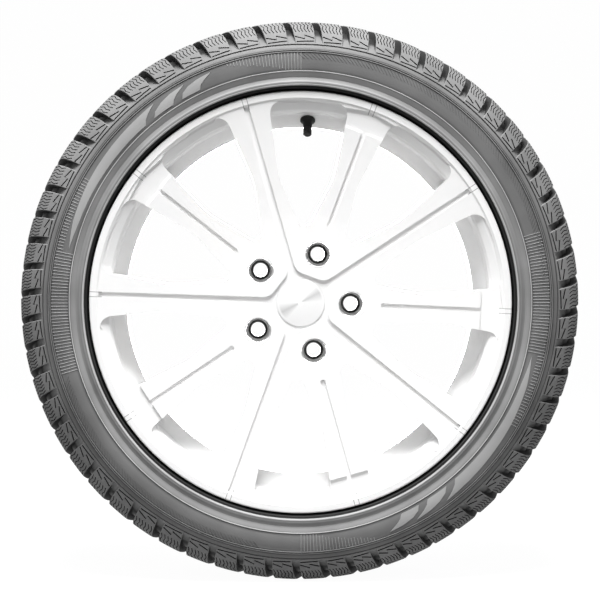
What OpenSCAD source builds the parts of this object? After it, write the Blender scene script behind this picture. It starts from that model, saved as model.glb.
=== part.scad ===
// Winter tyre of 225/45 R17 form, fitted on a cast ten spoke wheel.
// Every module is drawn about a local Z axis, with +Z towards the outer face of the wheel.
// place() turns that axis so the finished wheel spins about Y and shows its face to -Y.

/* [Tyre] */
// Height of the section over the rim's nominal diameter
section_h = 101.25; // [98:0.05:108]
// Width over the two sidewalls
section_w = 225; // [223:0.5:230]
// Depth of the tread grooves
tread_depth = 8.5; // [4:0.1:9]
// Rubber and belts under the grooves
under_tread = 8.6; // [7:0.1:11]
// Radius of the crown across the tread
crown_r = 900; // [600:10:1500]
// Distance from the middle of the tread to the start of the shoulder
shoulder_start = 78; // [70:0.5:84]
// Radius of the shoulder
shoulder_r = 30; // [26:0.5:34]
// Thickness of the sidewall
sidewall_t = 8; // [6:0.1:10]
// Number of blocks round each shoulder
pitches = 60; // [48:1:66]
// Swing of the block spacing, in degrees
pitch_swing = 1.4; // [0:0.1:1.6]
// Width of the grooves across the shoulder
lateral_w = 8; // [5:0.1:10]
// Width of the two grooves round the tread
ring_groove_w = 9; // [5:0.1:12]
// Distance of each ring groove from the middle of the tread
ring_groove_at = 44; // [36:0.5:52]
// Lean of the groove across the shoulder, in degrees
shoulder_lean = 12; // [0:1:20]
// Lean of the groove across the crown, in degrees
crown_lean = 48; // [30:1:55]
// How far the rim protector rib stands out beyond the wheel's lip
protector_out = 5.5; // [3:0.1:6]
// Place of the double line on the sidewall's arc, in degrees above its widest point
double_line_a = 19.7; // [16:0.1:21]
// Place of the fitting line on the sidewall's arc, in degrees below its widest point
fitting_line_a = 11; // [9:0.1:14]
// Width of the lines on the sidewall
line_w = 0.8; // [0.6:0.1:1]
// Height of the lines on the sidewall
line_rise = 0.35; // [0.2:0.05:0.5]
// Depth of the smooth band between the blocks and the double line
band_depth = 0.8; // [0.4:0.1:1.2]

/* [Wheel rim] */
// Diameter of the bead seats
bead_d = 436.6; // [436:0.1:437.5]
// Width between the flanges
rim_w = 190.5; // [188:0.5:194]
// Height of the flanges over the bead seats
flange_h = 17.3; // [16.5:0.1:18]
// Thickness of the rolled part of the flange
flange_roll = 9.5; // [9:0.1:10]
// Depth of the well below the bead seats
well_depth = 17.3; // [16.5:0.1:18]
// Wall of the rim
rim_wall = 4; // [3:0.1:5]

/* [Spokes] */
// Width of the lip between the windows and the edge of the flange
lip_w = 9.6; // [8.6:0.1:13]
// Radius of the inner end of the windows
window_in = 86; // [82:0.5:92]
// Wall left on each side of the hollow behind a spoke
spoke_wall = 7; // [6:0.5:9]
// Metal left between the hollow behind a spoke and the face
spoke_skin = 14; // [12:0.5:18]
// Half the width of a window's inner end
window_tip = 5.6; // [4:0.1:7]
// Radius where the spokes are slimmest
waist_at = 140; // [130:1:150]
// Half the width of a window at the slimmest part of the spokes
waist_half = 31; // [28:0.5:33]
// Half the angle of a window at its outer end
window_half_angle = 11.5; // [10.5:0.1:12]
// Corner radius of the windows
window_corner = 13; // [8:0.5:16]
// How far the hub face lies behind the lip
hub_dish = 12; // [6:0.5:16]
// Depth of the grooves along the spokes
groove_depth = 2.5; // [1:0.1:4]
// Width of the grooves in the five short spokes
short_groove_w = 5; // [3:0.1:7]
// Width of the grooves in the five long spokes at the rim
long_groove_w = 5.6; // [4:0.1:8]
// Width of the grooves in the five long spokes at the hub
long_groove_hub_w = 8.2; // [6:0.1:10]

/* [Hub] */
// Distance of the hub pad from the middle of the rim
offset = 45; // [38:1:48]
// Radius of the hub pad
pad_r = 75; // [72:0.5:78]
// Diameter of the hub bore
hub_bore_d = 72.6; // [66:0.1:74]
// Depth of the hub bore
hub_bore_depth = 31; // [26:0.5:33]
// Diameter of the bolt circle
bolt_circle_d = 114.3; // [112:0.1:116]
// Number of bolt holes
bolts = 5; // [5:1:5]
// Diameter of the bolt holes
bolt_hole_d = 16; // [14:0.1:16.5]
// Diameter of the bolt pockets at the hub face
pocket_d = 29; // [27:0.1:31]
// Depth of the round recesses in the hub pad
pad_recess = 5; // [3:0.5:8]
// Diameter of the round recesses in the hub pad
pad_recess_d = 24; // [18:0.5:26]
// Thickness of metal between the hub pad and the bolt seats
seat_height = 12; // [10:0.1:16]
// Radius of the flat that each petal turns to the cap
petal_in = 31; // [30:0.1:33]
// Corner radius of the petals
petal_corner = 15; // [8:0.5:16]

/* [Centre cap] */
// Diameter of the cap
cap_d = 53.6; // [50:0.1:56]
// Gap round the cap
cap_gap = 0.3; // [0.2:0.05:0.5]
// Thickness of the cap's edge
cap_edge = 2; // [1.5:0.1:3]
// Rise of the cap's face from edge to middle
cap_dome = 1.2; // [0.5:0.1:2]
// Length of the clips behind the cap
clip_length = 11; // [9:0.5:12]
// Diameter of the wire of the ring inside the clips
wire_d = 1.6; // [1.2:0.1:2]

/* [Valve] */
// Place of the valve round the wheel, in degrees
valve_angle = 87.6; // [86:0.1:89]
// Diameter of the valve hole
valve_hole_d = 11.3; // [11.2:0.05:11.6]
// Diameter of the rubber collar on the rim
valve_collar_d = 17; // [15:0.1:19]
// Length of the valve outside the rim with its cap
valve_length = 21.5; // [20:0.1:26]
// Diameter of the valve cap
valve_cap_d = 9.4; // [9:0.1:10]
// Diameter of the valve thread
valve_thread_d = 7.7; // [7.5:0.05:8]
// Travel of the core pin
pin_travel = 1.2; // [0.8:0.1:1.5]
// Running gap between the valve's pieces
valve_gap = 0.15; // [0.1:0.01:0.2]

/* [Fits] */
// Gap between the tyre's beads and the rim
bead_gap = 0.15; // [0.1:0.01:0.3]

/* [Hidden] */
$fn = 96;

spokes = 2 * bolts;
half_rim = rim_w / 2;
bead_r = bead_d / 2;
flange_r = bead_r + flange_h;
seat_over_nominal = 4.8;
tyre_r = (bead_d - seat_over_nominal) / 2 + section_h;
window_out = flange_r - lip_w;
well_r = bead_r - well_depth;
heel_r = 6.5;
roll_r = flange_r - flange_roll;
roll_z = half_rim + flange_roll;
lip_edge = 1.75;
lip_z = roll_z + lip_edge;
hub_z = lip_z - hub_dish;
big = 400;

// Points of an arc in a section, as [radius, height]; the angle starts along the height
function arc(r, z, size, from, to, steps) =
    [for (i = [0 : steps]) let (a = from + (to - from) * i / steps) [r + size * sin(a), z + size * cos(a)]];

// The same points on the other side of the middle, in the opposite order
function mirrored(points) = [for (i = [len(points) - 1 : -1 : 0]) [points[i][0], -points[i][1]]];

function unit(v) = v / norm(v);

// Arc that rounds the corner b between a and c
function corner(a, b, c, size, steps = 6) =
    size == 0 ? [b] :
    let (u = unit(a - b), w = unit(c - b), half = acos(u * w) / 2, turn = 180 - 2 * half,
        centre = b + unit(u + w) * size / sin(half),
        start = b + u * size / tan(half) - centre, end = b + w * size / tan(half) - centre)
    [for (i = [0 : steps]) let (k = i / steps)
        centre + (start * sin((1 - k) * turn) + end * sin(k * turn)) / sin(turn)];

// Outline with each corner rounded; every entry is [point, radius]
function rounded(entries) =
    let (n = len(entries))
    [for (i = [0 : n - 1])
        each corner(entries[(i + n - 1) % n][0], entries[i][0], entries[(i + 1) % n][0], entries[i][1])];

// Direction of block i round the tyre; the spacing swells and shrinks three times a turn
function block_angle(i) = 360 * i / pitches + pitch_swing * sin(3 * 360 * i / pitches);

module place() {
    rotate([90, 0, 0]) children();
}

// Tyre

crown_drop = shoulder_start * shoulder_start / (2 * crown_r);
crown_slope = asin(shoulder_start / crown_r);
shoulder_end = 62;
shoulder_cz = shoulder_start - shoulder_r * sin(crown_slope);
shoulder_cr = tyre_r - crown_drop - shoulder_r * cos(crown_slope);
wall_z = section_w / 2;
wall_turn = 90 - shoulder_end;
side_h = tyre_r - flange_r;
wall_r = flange_r + 0.3746 * side_h;
wall_size = 0.5751 * side_h;
block_end_r = wall_r + wall_size * sin(wall_turn) + 2;
rib_z = lip_z + protector_out;
rib_r = flange_r + 7;
groove_floor = tyre_r - tread_depth;
liner_r = groove_floor - under_tread;

// Point on the sidewall's arc, raised by lift
function wall_point(a, lift = 0) =
    [wall_r + (wall_size + lift) * sin(a), wall_z - wall_size + (wall_size + lift) * cos(a)];

// Low line round the sidewall
function wall_line(a) =
    let (half = line_w / 2 / wall_size * 180 / PI)
    [wall_point(a + half), wall_point(a + half, line_rise), wall_point(a - half, line_rise),
     wall_point(a - half)];

line_pitch_a = 2.4 * line_w / wall_size * 180 / PI;

// Sidewall with its band and lines, from the shoulder down to the protector rib
function wall_outline() =
    let (band_top = wall_turn - 0.6, band_low = double_line_a + 1.5 * line_pitch_a,
        middle = double_line_a - 1.2 * line_pitch_a)
    concat(
        [wall_point(wall_turn), wall_point(band_top), wall_point(band_top, -band_depth)],
        [wall_point((band_top + band_low) / 2, -band_depth), wall_point(band_low, -band_depth),
         wall_point(band_low)],
        wall_line(double_line_a + line_pitch_a / 2), wall_line(double_line_a - line_pitch_a / 2),
        [for (i = [0 : 5]) wall_point(middle + (2 - fitting_line_a - middle) * i / 5)],
        wall_line(-fitting_line_a),
        [for (i = [1 : 3]) wall_point(-fitting_line_a - 1 + (fitting_line_a - 19) * i / 3)]);

// Outside of one half of the tyre, from the middle of the tread to the toe of the bead
function outer_half() = concat(
    [for (i = [0 : 6]) let (z = shoulder_start * i / 6) [tyre_r - z * z / (2 * crown_r), z]],
    arc(shoulder_cr, shoulder_cz, shoulder_r, 90 - crown_slope, 90 - shoulder_end, 7),
    wall_outline(),
    [[rib_r + 2.5, rib_z], [rib_r - 0.5, rib_z], [rib_r - 1.5, rib_z - 1],
     [flange_r + 2.2, roll_z - 1.5], [flange_r + 0.6, roll_z - 4]],
    arc(roll_r, roll_z, flange_roll + bead_gap, 130, 180, 4),
    arc(bead_r + heel_r + bead_gap, half_rim - heel_r - bead_gap, heel_r, 0, -90, 4),
    [[bead_r - 1.2 + bead_gap, half_rim - 21.5], [bead_r + 0.8, half_rim - 23]]);

// Inside of one half of the tyre, from the toe of the bead to the middle
function inner_half() = concat(
    [[bead_r + 12, half_rim - 19], [flange_r + 2, half_rim - 10], [flange_r + 14, half_rim + 1]],
    arc(wall_r, wall_z - wall_size, wall_size - sidewall_t, -6, wall_turn, 5),
    arc(shoulder_cr, shoulder_cz, tyre_r - crown_drop - shoulder_cr - tread_depth - under_tread + 1.5,
        wall_turn, 90 - crown_slope, 5),
    [[liner_r, 0]]);

module tyre_section() {
    half = concat(outer_half(), inner_half());
    other = mirrored(half);
    difference() {
        polygon(concat(half, [for (i = [1 : len(other) - 2]) other[i]]));
        for (side = [-1, 1])
            translate([groove_floor - crown_drop / 3, side * ring_groove_at - ring_groove_w / 2])
                square([tread_depth * 2, ring_groove_w]);
    }
}

// Groove across one shoulder, cut to an even depth over the crown and down the shoulder
module shoulder_groove() {
    floor_size = shoulder_r - tread_depth;
    outline = concat(
        [[groove_floor - 1, ring_groove_at]],
        arc(shoulder_cr, shoulder_cz, floor_size, 90 - crown_slope, 90 - shoulder_end, 4),
        [[block_end_r, wall_z - 4], [block_end_r, wall_z + 10], [tyre_r + 10, wall_z + 10],
         [tyre_r + 10, ring_groove_at]]);
    translate([0, 0, ring_groove_at]) rotate([shoulder_lean, 0, 0]) translate([0, 0, -ring_groove_at])
        rotate([90, 0, 0]) linear_extrude(lateral_w, center = true) polygon(outline);
}

// Groove from near the middle of the tread out to the ring groove
module crown_groove() {
    start = 7;
    reach = (ring_groove_at - start) / cos(crown_lean);
    translate([groove_floor, 0, ring_groove_at]) rotate([crown_lean, 0, 0])
        translate([0, -lateral_w * 0.35, -reach]) cube([tread_depth * 2, lateral_w * 0.7, reach]);
}

module tyre() {
    color("#26282b") place() difference() {
        rotate_extrude($fn = 180) tyre_section();
        for (i = [0 : pitches - 1]) {
            rotate(block_angle(i)) {
                shoulder_groove();
                crown_groove();
            }
            rotate(block_angle(i + 0.5)) mirror([0, 0, 1]) {
                shoulder_groove();
                crown_groove();
            }
        }
    }
}

// Wheel

hump_z = half_rim - 22;
hump_r = bead_r - 1;
well_top = hump_z - 23.5;
seat_wall = 7.3;
barrel_in = bead_r - seat_wall;
hump_foot_r = hump_r - 0.8;
hump_foot_z = hump_z - 1.5;
valve_tilt = atan2(hump_foot_r - well_r, hump_foot_z - well_top);

// Height at which the slope beside the well has this radius on its hub side
function slope_z(r) = well_top + (r - well_r) / tan(valve_tilt) + rim_wall / sin(valve_tilt);

// Tyre side of the rim, from the front flange to the back one
function rim_outside() = concat(
    [[flange_r - lip_edge, lip_z]],
    arc(flange_r - lip_edge, roll_z, lip_edge, 0, 90, 3),
    arc(roll_r, roll_z, flange_roll, 90, 180, 6),
    arc(bead_r + heel_r, half_rim - heel_r, heel_r, 0, -90, 4),
    [[bead_r - 1.3, half_rim - 21], [hump_r, hump_z], [hump_foot_r, hump_foot_z],
     [well_r, well_top], [well_r, 20], [bead_r - 7, -18], [bead_r - 5.6, -hump_z + 5],
     [hump_foot_r, -hump_foot_z], [hump_r, -hump_z], [bead_r - 1.3, -half_rim + 21]],
    mirrored(arc(bead_r + heel_r, half_rim - heel_r, heel_r, 0, -90, 4)),
    mirrored(arc(roll_r, roll_z, flange_roll, 90, 180, 6)),
    mirrored(arc(flange_r - lip_edge, roll_z, lip_edge, 0, 90, 3)));

// Hub side of the rim, from the back flange to the front lip
function rim_inside() = [
    [flange_r - 7, -lip_z], [flange_r - 10, -lip_z + 3], [barrel_in + 2, -half_rim + 2],
    [bead_r - 5.6 - rim_wall, -hump_z + 7], [bead_r - 7 - rim_wall, -18],
    [well_r - rim_wall, 20], [well_r - rim_wall, slope_z(well_r - rim_wall)],
    [barrel_in, slope_z(barrel_in)], [barrel_in + 1.5, half_rim - 2], [barrel_in + 4, half_rim + 2.5],
    [window_out - 2, lip_z - 3.5], [window_out, lip_z - 1.5], [window_out + 2, lip_z]];

// Outline of one window, along X; its outer edge lies just inside the lip's own corner
function window_outline() =
    let (out = window_out - 0.4, step = window_half_angle / 8)
    rounded(concat(
        [[[window_in, -window_tip], window_tip - 0.6], [[waist_at, -waist_half], 70]],
        [for (k = [-8, -5, -4, -3, -2, -1, 0, 1, 2, 3, 4, 5, 8])
            [[out * cos(k * step), out * sin(k * step)], abs(k) == 8 ? window_corner : 0]],
        [[[waist_at, waist_half], 70], [[window_in, window_tip], window_tip - 0.6]]));

function front_z(r) = hub_z + (lip_z - 1.5 - hub_z) * pow(max(0, r - pad_r) / (window_out - pad_r), 1.5);

// Face of the disc as a line of points, lowered by drop
function face_line(drop) = concat([[0, hub_z - drop]],
    [for (i = [0 : 6]) let (r = pad_r + (window_out - pad_r) * i / 6) [r, front_z(r) - drop]]);

function disc_section() = concat(
    [for (p = face_line(0)) p],
    [[window_out + 2, lip_z - 2], [window_out - 1, lip_z - 4.5], [barrel_in + 4.5, half_rim + 1.5],
     [barrel_in + 3, half_rim - 3], [barrel_in + 1.5, slope_z(barrel_in) + 1],
     [barrel_in - 4, slope_z(barrel_in - 4) - 1.5],
     [185, offset + 24], [130, offset + 18], [90, offset + 12],
     [pad_r + 1, offset + 2], [pad_r, offset], [0, offset]]);

// Raised petal round one bolt hole, along X, bounded by the grooves of the long spokes
module petal() {
    side = 180 / bolts;
    along = [cos(side), sin(side)];
    across = [sin(side), -cos(side)];
    hub_point = along * 56 + across * long_groove_hub_w / 2;
    rim_point = along * (window_out + 20) + across * long_groove_w / 2;
    slope = (rim_point[1] - hub_point[1]) / (rim_point[0] - hub_point[0]);
    inner_y = hub_point[1] - slope * (hub_point[0] - petal_in);
    polygon(rounded([[[petal_in, inner_y], petal_corner], [rim_point, 0], [[rim_point[0], -rim_point[1]], 0],
        [[petal_in, -inner_y], petal_corner]]));
    polygon([[window_out, 0], rim_point, [big, 0], [rim_point[0], -rim_point[1]]]);
}

// Everything that is cut a few millimetres into the face of the disc
module face_grooves() {
    intersection() {
        rotate_extrude() polygon(concat(face_line(groove_depth), [[window_out, big], [0, big]]));
        translate([0, 0, hub_z - 5]) linear_extrude(lip_z) {
            difference() {
                circle(window_out - 0.5);
                for (i = [0 : bolts - 1]) rotate(i * 360 / bolts) petal();
            }
            for (i = [0 : bolts - 1]) rotate(i * 360 / bolts) {
                translate([window_in + 7, 0]) circle(d = short_groove_w + 1, $fn = 32);
                translate([window_in + 7, -short_groove_w / 2])
                    square([window_out - window_in - 8, short_groove_w]);
            }
        }
    }
}

seat_z = offset + seat_height;
seat_d = pocket_d - 5;

// Bolt hole with its conical seat and its pocket
module bolt_hole() {
    cylinder(h = big, d = bolt_hole_d);
    cone_h = (seat_d - bolt_hole_d) / 2 * sqrt(3);
    translate([0, 0, seat_z]) cylinder(h = cone_h, d1 = bolt_hole_d, d2 = seat_d);
    translate([0, 0, seat_z + cone_h]) cylinder(h = hub_z - seat_z - cone_h + 1, d1 = seat_d, d2 = pocket_d);
}

cap_r = cap_d / 2;
cap_seat_z = hub_z - groove_depth - cap_edge + 1;
clip_r = cap_r - 2;
land_depth = clip_length - 3;

valve_rim_r = (hump_foot_r + well_r) / 2 - rim_wall * cos(valve_tilt);
valve_rim_z = (hump_foot_z + well_top) / 2 + rim_wall * sin(valve_tilt);

// Frame of the valve: its Z axis points out of the rim towards the hub and the front
module valve_place() {
    place() rotate(valve_angle) translate([valve_rim_r, 0, valve_rim_z])
        rotate([0, valve_tilt - 90, 0]) children();
}

// Half the width of a spoke at a distance from the wheel's middle, from the windows on both sides
function spoke_half(r) =
    let (half_turn = 180 / spokes, low = [window_in, window_tip], mid = [waist_at, waist_half],
        top = window_out * [cos(window_half_angle), sin(window_half_angle)],
        from = r < mid[0] ? low : mid, to = r < mid[0] ? mid : top,
        lean = atan2(to[1] - from[1], to[0] - from[0]), away = half_turn - lean,
        at = from[0] * cos(half_turn) + from[1] * sin(half_turn))
    from[0] * sin(half_turn) - from[1] * cos(half_turn) + (r - at) * tan(away);

// Hollow behind one spoke, along X
module spoke_hollow() {
    low = window_in + 12;
    high = well_r - 15;
    stations = [low, waist_at + 3, high];
    edge = [for (r = stations) [r, spoke_half(r) - spoke_wall]];
    translate([0, 0, offset - 1]) linear_extrude(hub_z - spoke_skin - offset + 1)
        polygon(rounded([[edge[0], 5], [edge[1], 60], [edge[2], 7], [[high, -edge[2][1]], 7],
            [[waist_at + 3, -edge[1][1]], 60], [[low, -edge[0][1]], 5]]));
}

module wheel_body() {
    turn = 360 / spokes;
    first = valve_angle - 2 * turn;
    difference() {
        union() {
            rotate_extrude($fn = 180) polygon(concat(rim_outside(), rim_inside()));
            difference() {
                rotate_extrude($fn = 180) polygon(disc_section());
                for (i = [0 : spokes - 1]) rotate(first + i * turn)
                    translate([0, 0, offset - 5]) linear_extrude(lip_z) polygon(window_outline());
            }
        }
        rotate(first - turn / 2) {
            face_grooves();
            for (i = [0 : bolts - 1]) rotate(i * 360 / bolts) {
                translate([bolt_circle_d / 2, 0, 0]) bolt_hole();
                rotate(180 / bolts) translate([bolt_circle_d / 2, 0, offset - 1])
                    cylinder(h = pad_recess + 1, d = pad_recess_d);
            }
            for (i = [0 : spokes - 1]) rotate(i * turn) spoke_hollow();
        }
        translate([0, 0, offset - 1]) cylinder(h = hub_bore_depth + 1, d = hub_bore_d);
        translate([0, 0, offset - 0.01]) cylinder(h = 1.5, r1 = hub_bore_d / 2 + 1.5, r2 = hub_bore_d / 2);
        cylinder(h = big, r = clip_r + cap_gap);
        translate([0, 0, offset]) cylinder(h = cap_seat_z - offset - land_depth, r = clip_r + 1.6);
        translate([0, 0, cap_seat_z]) cylinder(h = big, r = cap_r + cap_gap);
    }
}

module wheel() {
    color("#f1f2f3") difference() {
        place() wheel_body();
        valve_place() cylinder(h = 60, d = valve_hole_d, center = true, $fn = 48);
    }
}

// Centre cap

module centre_cap() {
    clips = 6;
    dome_size = (cap_r * cap_r + cap_dome * cap_dome) / (2 * cap_dome);
    color("#c4c6c9") place() translate([0, 0, cap_seat_z]) difference() {
        union() {
            cylinder(h = cap_edge, r = cap_r);
            intersection() {
                translate([0, 0, cap_edge + cap_dome - dome_size]) sphere(dome_size, $fn = 180);
                translate([0, 0, cap_edge / 2]) cylinder(h = cap_edge + cap_dome, r = cap_r - 0.4);
            }
            translate([0, 0, -clip_length]) cylinder(h = clip_length + 0.5, r = clip_r);
            translate([0, 0, -clip_length]) cylinder(h = 2.4, r1 = clip_r - 0.6, r2 = clip_r + 0.9);
        }
        translate([0, 0, -clip_length - 1]) cylinder(h = clip_length + 1, r = clip_r - 1.8);
        for (i = [0 : clips / 2 - 1]) rotate(i * 360 / clips)
            translate([-cap_r, -1.5, -clip_length - 1]) cube([2 * cap_r, 3, clip_length - 1]);
    }
}

module cap_wire_ring() {
    color("#b9bcc0") place() translate([0, 0, cap_seat_z - clip_length + 4])
        rotate_extrude(angle = 330) translate([clip_r - 1.8 - wire_d / 2 - 0.1, 0]) circle(d = wire_d, $fn = 24);
}

// Valve

thread_r = valve_thread_d / 2;
insert_top = valve_length - 2;
cap_start = insert_top - 7;
neck_r = valve_hole_d / 2 - 0.05;
bulb_l = rim_wall + 8;
collar_lift = 0.25;
insert_neck_r = thread_r - 0.35;
core_r = 2.5;
pin_r = 0.6;
core_bottom = insert_top - 14;
core_top = insert_top - 1.4;
cap_inner_r = thread_r + valve_gap;
seal_t = 0.8;

module valve_stem() {
    collar_r = valve_collar_d / 2;
    color("#1b1c1e") valve_place() difference() {
        rotate_extrude($fn = 64) polygon([
            [0, -bulb_l], [6.2, -bulb_l], [7.8, -bulb_l + 2.5], [8.3, -rim_wall - 1.5],
            [8.3, -rim_wall - 0.1], [neck_r, -rim_wall - 0.1], [neck_r, collar_lift], [collar_r, collar_lift],
            [collar_r, 1.6], [collar_r - 1.8, 3.2], [5.6, 5], [5.1, 8], [4.6, cap_start - 0.4], [0, cap_start - 0.4]]);
        translate([0, 0, -big / 2]) cylinder(h = big, r = insert_neck_r);
    }
}

module valve_insert() {
    bottom = -bulb_l;
    color("#c9a24a") valve_place() difference() {
        union() {
            translate([0, 0, bottom]) cylinder(h = cap_start - bottom, r = insert_neck_r - 0.02, $fn = 48);
            translate([0, 0, cap_start - 0.3]) cylinder(h = insert_top - cap_start + 0.3, r = thread_r, $fn = 48);
        }
        translate([0, 0, bottom - 1]) cylinder(h = big, r = 1.5, $fn = 32);
        translate([0, 0, core_bottom - 4]) cylinder(h = big, r = core_r + valve_gap, $fn = 32);
    }
}

module core_body() {
    color("#b88f3c") valve_place() difference() {
        translate([0, 0, core_bottom]) cylinder(h = core_top - core_bottom, r = core_r, $fn = 32);
        translate([0, 0, core_bottom - 1]) cylinder(h = big, r = pin_r + valve_gap, $fn = 24);
        translate([0, 0, core_bottom + 1.2]) cylinder(h = big, r = core_r - 0.7, $fn = 24);
    }
}

module core_pin() {
    color("#d5b45e") valve_place() {
        translate([0, 0, core_bottom - 1.9]) cylinder(h = core_top - core_bottom + 2.4, r = pin_r, $fn = 24);
        translate([0, 0, core_top - 2]) cylinder(h = 0.6, r = 1.5, $fn = 24);
    }
}

module core_seal() {
    color("#2a2a2c") valve_place() difference() {
        translate([0, 0, core_bottom - 1.6]) cylinder(h = 1.45, r1 = 1.7, r2 = 2.1, $fn = 24);
        translate([0, 0, core_bottom - 3]) cylinder(h = 5, r = pin_r, $fn = 24);
    }
}

// Wire spring wound round the pin, as a swept tube
module core_spring() {
    turns = 5;
    per_turn = 14;
    sides = 6;
    wire = 0.2;
    coil = 1.15;
    low = core_bottom + 1.2 + pin_travel + 0.15 + wire;
    high = core_top - 2 - 0.1 - wire;
    rings = turns * per_turn;
    points = [for (i = [0 : rings]) for (k = [0 : sides - 1])
        let (a = 360 * i / per_turn, b = 360 * k / sides, r = coil + wire * cos(b))
        [r * cos(a), r * sin(a), low + (high - low) * i / rings + wire * sin(b)]];
    walls = [for (i = [0 : rings - 1]) for (k = [0 : sides - 1])
        let (n = (k + 1) % sides) [i * sides + k, i * sides + n, (i + 1) * sides + n, (i + 1) * sides + k]];
    ends = [[for (k = [sides - 1 : -1 : 0]) k], [for (k = [0 : sides - 1]) rings * sides + k]];
    color("#9a9da1") valve_place() polyhedron(points, concat(walls, ends));
}

module valve_cap() {
    color("#17181a") valve_place() difference() {
        union() {
            translate([0, 0, cap_start]) cylinder(h = valve_length - cap_start - 1, d = valve_cap_d, $fn = 48);
            translate([0, 0, valve_length - 1]) cylinder(h = 1, d1 = valve_cap_d, d2 = valve_cap_d - 2, $fn = 48);
        }
        translate([0, 0, cap_start - 1])
            cylinder(h = insert_top + 1 - cap_start + 0.1 + seal_t, r = cap_inner_r, $fn = 48);
    }
}

module cap_seal() {
    color("#3a3b3e") valve_place() translate([0, 0, insert_top + 0.1])
        cylinder(h = seal_t, r = cap_inner_r - 0.05, $fn = 32);
}

tyre();
wheel();
centre_cap();
cap_wire_ring();
valve_stem();
valve_insert();
core_body();
core_spring();
core_pin();
core_seal();
valve_cap();
cap_seal();
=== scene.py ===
"""Looks of a winter tyre on its white cast wheel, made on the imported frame."""
import logging
import math
from dataclasses import dataclass
from enum import Enum
from typing import Callable, Sequence

import bmesh
import bpy
from mathutils import Matrix, Vector
from mathutils.geometry import delaunay_2d_cdt


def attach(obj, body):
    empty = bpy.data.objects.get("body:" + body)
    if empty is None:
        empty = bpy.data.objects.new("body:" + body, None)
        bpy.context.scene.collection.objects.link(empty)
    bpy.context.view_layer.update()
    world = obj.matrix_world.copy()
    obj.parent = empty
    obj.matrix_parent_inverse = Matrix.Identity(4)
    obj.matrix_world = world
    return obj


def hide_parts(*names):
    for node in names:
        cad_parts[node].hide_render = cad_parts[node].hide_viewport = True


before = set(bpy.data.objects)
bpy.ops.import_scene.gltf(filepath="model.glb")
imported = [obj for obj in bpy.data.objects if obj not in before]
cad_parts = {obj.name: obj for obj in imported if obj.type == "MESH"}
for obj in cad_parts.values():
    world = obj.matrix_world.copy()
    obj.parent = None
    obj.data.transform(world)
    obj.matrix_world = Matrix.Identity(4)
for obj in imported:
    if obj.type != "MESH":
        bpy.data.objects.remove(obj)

logging.basicConfig(level=logging.INFO, format="%(name)s: %(message)s")
log = logging.getLogger("tyre")

MM = 0.001
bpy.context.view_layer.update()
Point2 = tuple[float, float]
Point3 = tuple[float, float, float]


class Side(Enum):
    """Side of the tyre that a piece lies on."""

    FRONT = 1
    REAR = -1


class Graph:
    """A node tree that is filled one node at a time."""

    def __init__(self, tree: bpy.types.NodeTree) -> None:
        """Keep the tree and empty it."""
        self.tree = tree
        tree.nodes.clear()

    def add(self, kind: str, inputs: dict | None = None, **settings: object) -> bpy.types.Node:
        """Add a node.

        Args:
            kind: Node type, such as ShaderNodeMath.
            inputs: Socket names or numbers with the value or the socket that feeds each.
            settings: Properties of the node itself.

        Returns:
            The new node.
        """
        node = self.tree.nodes.new(kind)
        for key, value in settings.items():
            setattr(node, key, value)
        for key, value in (inputs or {}).items():
            if isinstance(value, bpy.types.NodeSocket):
                self.tree.links.new(value, node.inputs[key])
            else:
                node.inputs[key].default_value = value
        return node

    def math(self, operation: str, *values: object) -> bpy.types.NodeSocket:
        """Add a Math node and return its output."""
        return self.add("ShaderNodeMath", dict(enumerate(values)), operation=operation).outputs[0]

    def mix(self, share: object, low: object, high: object) -> bpy.types.NodeSocket:
        """Mix two colours by a share and return the result."""
        inputs = {0: share, 6: low, 7: high}
        return self.add("ShaderNodeMix", inputs, data_type="RGBA", clamp_factor=True).outputs[2]

    def scaled(self, value: object, low: float, high: float, to_low: float, to_high: float) -> bpy.types.NodeSocket:
        """Map a range of a value onto another range, clamped, and return the result."""
        return self.add("ShaderNodeMapRange", {0: value, 1: low, 2: high, 3: to_low, 4: to_high}).outputs[0]

    def group(self, tree: bpy.types.NodeTree, inputs: dict | None = None) -> bpy.types.Node:
        """Place a shader node group with its own values."""
        return self.add("ShaderNodeGroup", inputs, node_tree=tree)

    def finish(self, inputs: dict) -> None:
        """End a material with one plain shader that these inputs feed."""
        shader = self.add("ShaderNodeBsdfPrincipled", inputs)
        self.add("ShaderNodeOutputMaterial", {"Surface": shader.outputs[0]})

    def white_rays(self) -> bpy.types.NodeSocket:
        """Give 1 on rays from the camera, off a mirror or through glass, and 0 on the rays that light things."""
        path = self.add("ShaderNodeLightPath")
        bent = self.math("MAXIMUM", path.outputs["Is Glossy Ray"], path.outputs["Is Transmission Ray"])
        return self.math("MAXIMUM", path.outputs["Is Camera Ray"], bent)


def shade(level: float, warmth: float = 0.0) -> tuple[float, float, float, float]:
    """Give a near-grey colour of this linear level; a positive warmth lifts red over blue."""
    return (level * (1 + warmth), level, level * (1 - warmth), 1.0)


def new_material(name: str) -> tuple[bpy.types.Material, Graph]:
    """Make a material and the graph that fills its node tree.

    Args:
        name: Name of the material.

    Returns:
        The material and its empty graph.
    """
    material = bpy.data.materials.new(name)
    material.use_nodes = True
    return material, Graph(material.node_tree)


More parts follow.
